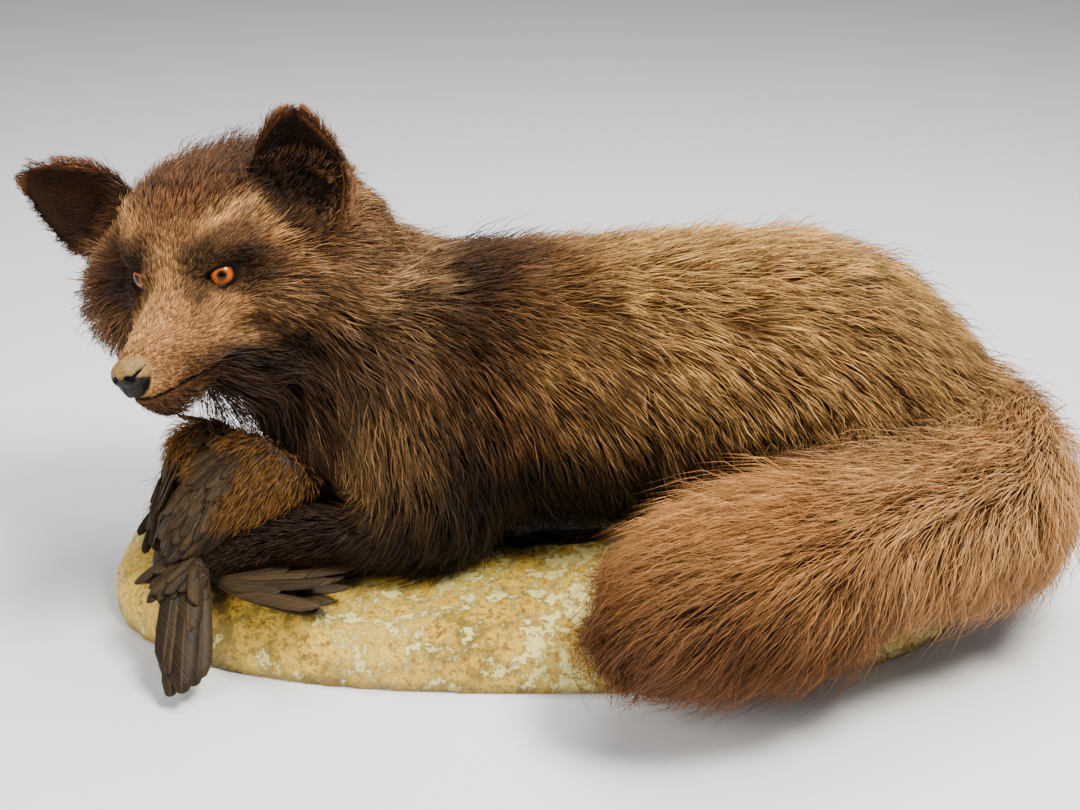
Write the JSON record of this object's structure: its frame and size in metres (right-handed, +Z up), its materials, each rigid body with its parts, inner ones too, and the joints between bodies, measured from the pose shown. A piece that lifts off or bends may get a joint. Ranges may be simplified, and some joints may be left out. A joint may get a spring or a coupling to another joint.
{
  "type": "taxidermy red fox",
  "caption": "Life-size mounted red fox lying on an oval plaster base, head turned to its left, brush curled forward, a small game bird held under its forepaws.",
  "frame": {"origin": "middle of the flat underside of the oval base, on the surface it rests on", "axes": "+X along the body towards the rump, +Y to the fox's right side, away from the side its head looks over, +Z up"},
  "size_m": [0.6163, 0.3273, 0.2872],
  "materials": {
    "coat": "long dark brown fox fur, golden tan at the guard-hair tips",
    "tail_coat": "long rufous brown brush fur",
    "eye_glass": "amber glass eye with a dark pupil",
    "nose_leather": "dark pebbled nose leather and dark horn of the claws",
    "plaster": "painted plaster, ochre and cream",
    "plumage": "dark grey-brown feathers"
  },
  "bodies": {
    "root": {"base": "plaster", "head": "coat", "neck": "coat", "trunk": "coat", "hindleg_left": "coat", "hindleg_right": "coat", "ear_left": "coat", "ear_right": "coat", "foreleg_left": "coat", "forepaw_left": "coat", "foreleg_right": "coat", "forepaw_right": "coat", "hindpaw_left": "coat", "hindpaw_right": "coat", "tail_root": "tail_coat", "tail_middle": "tail_coat", "tail_tip": "tail_coat", "eye_left": "eye_glass", "eye_right": "eye_glass", "nose": "nose_leather", "prey_bird": "plumage", "prey_feathers": "plumage"}
  },
  "joints": []
}
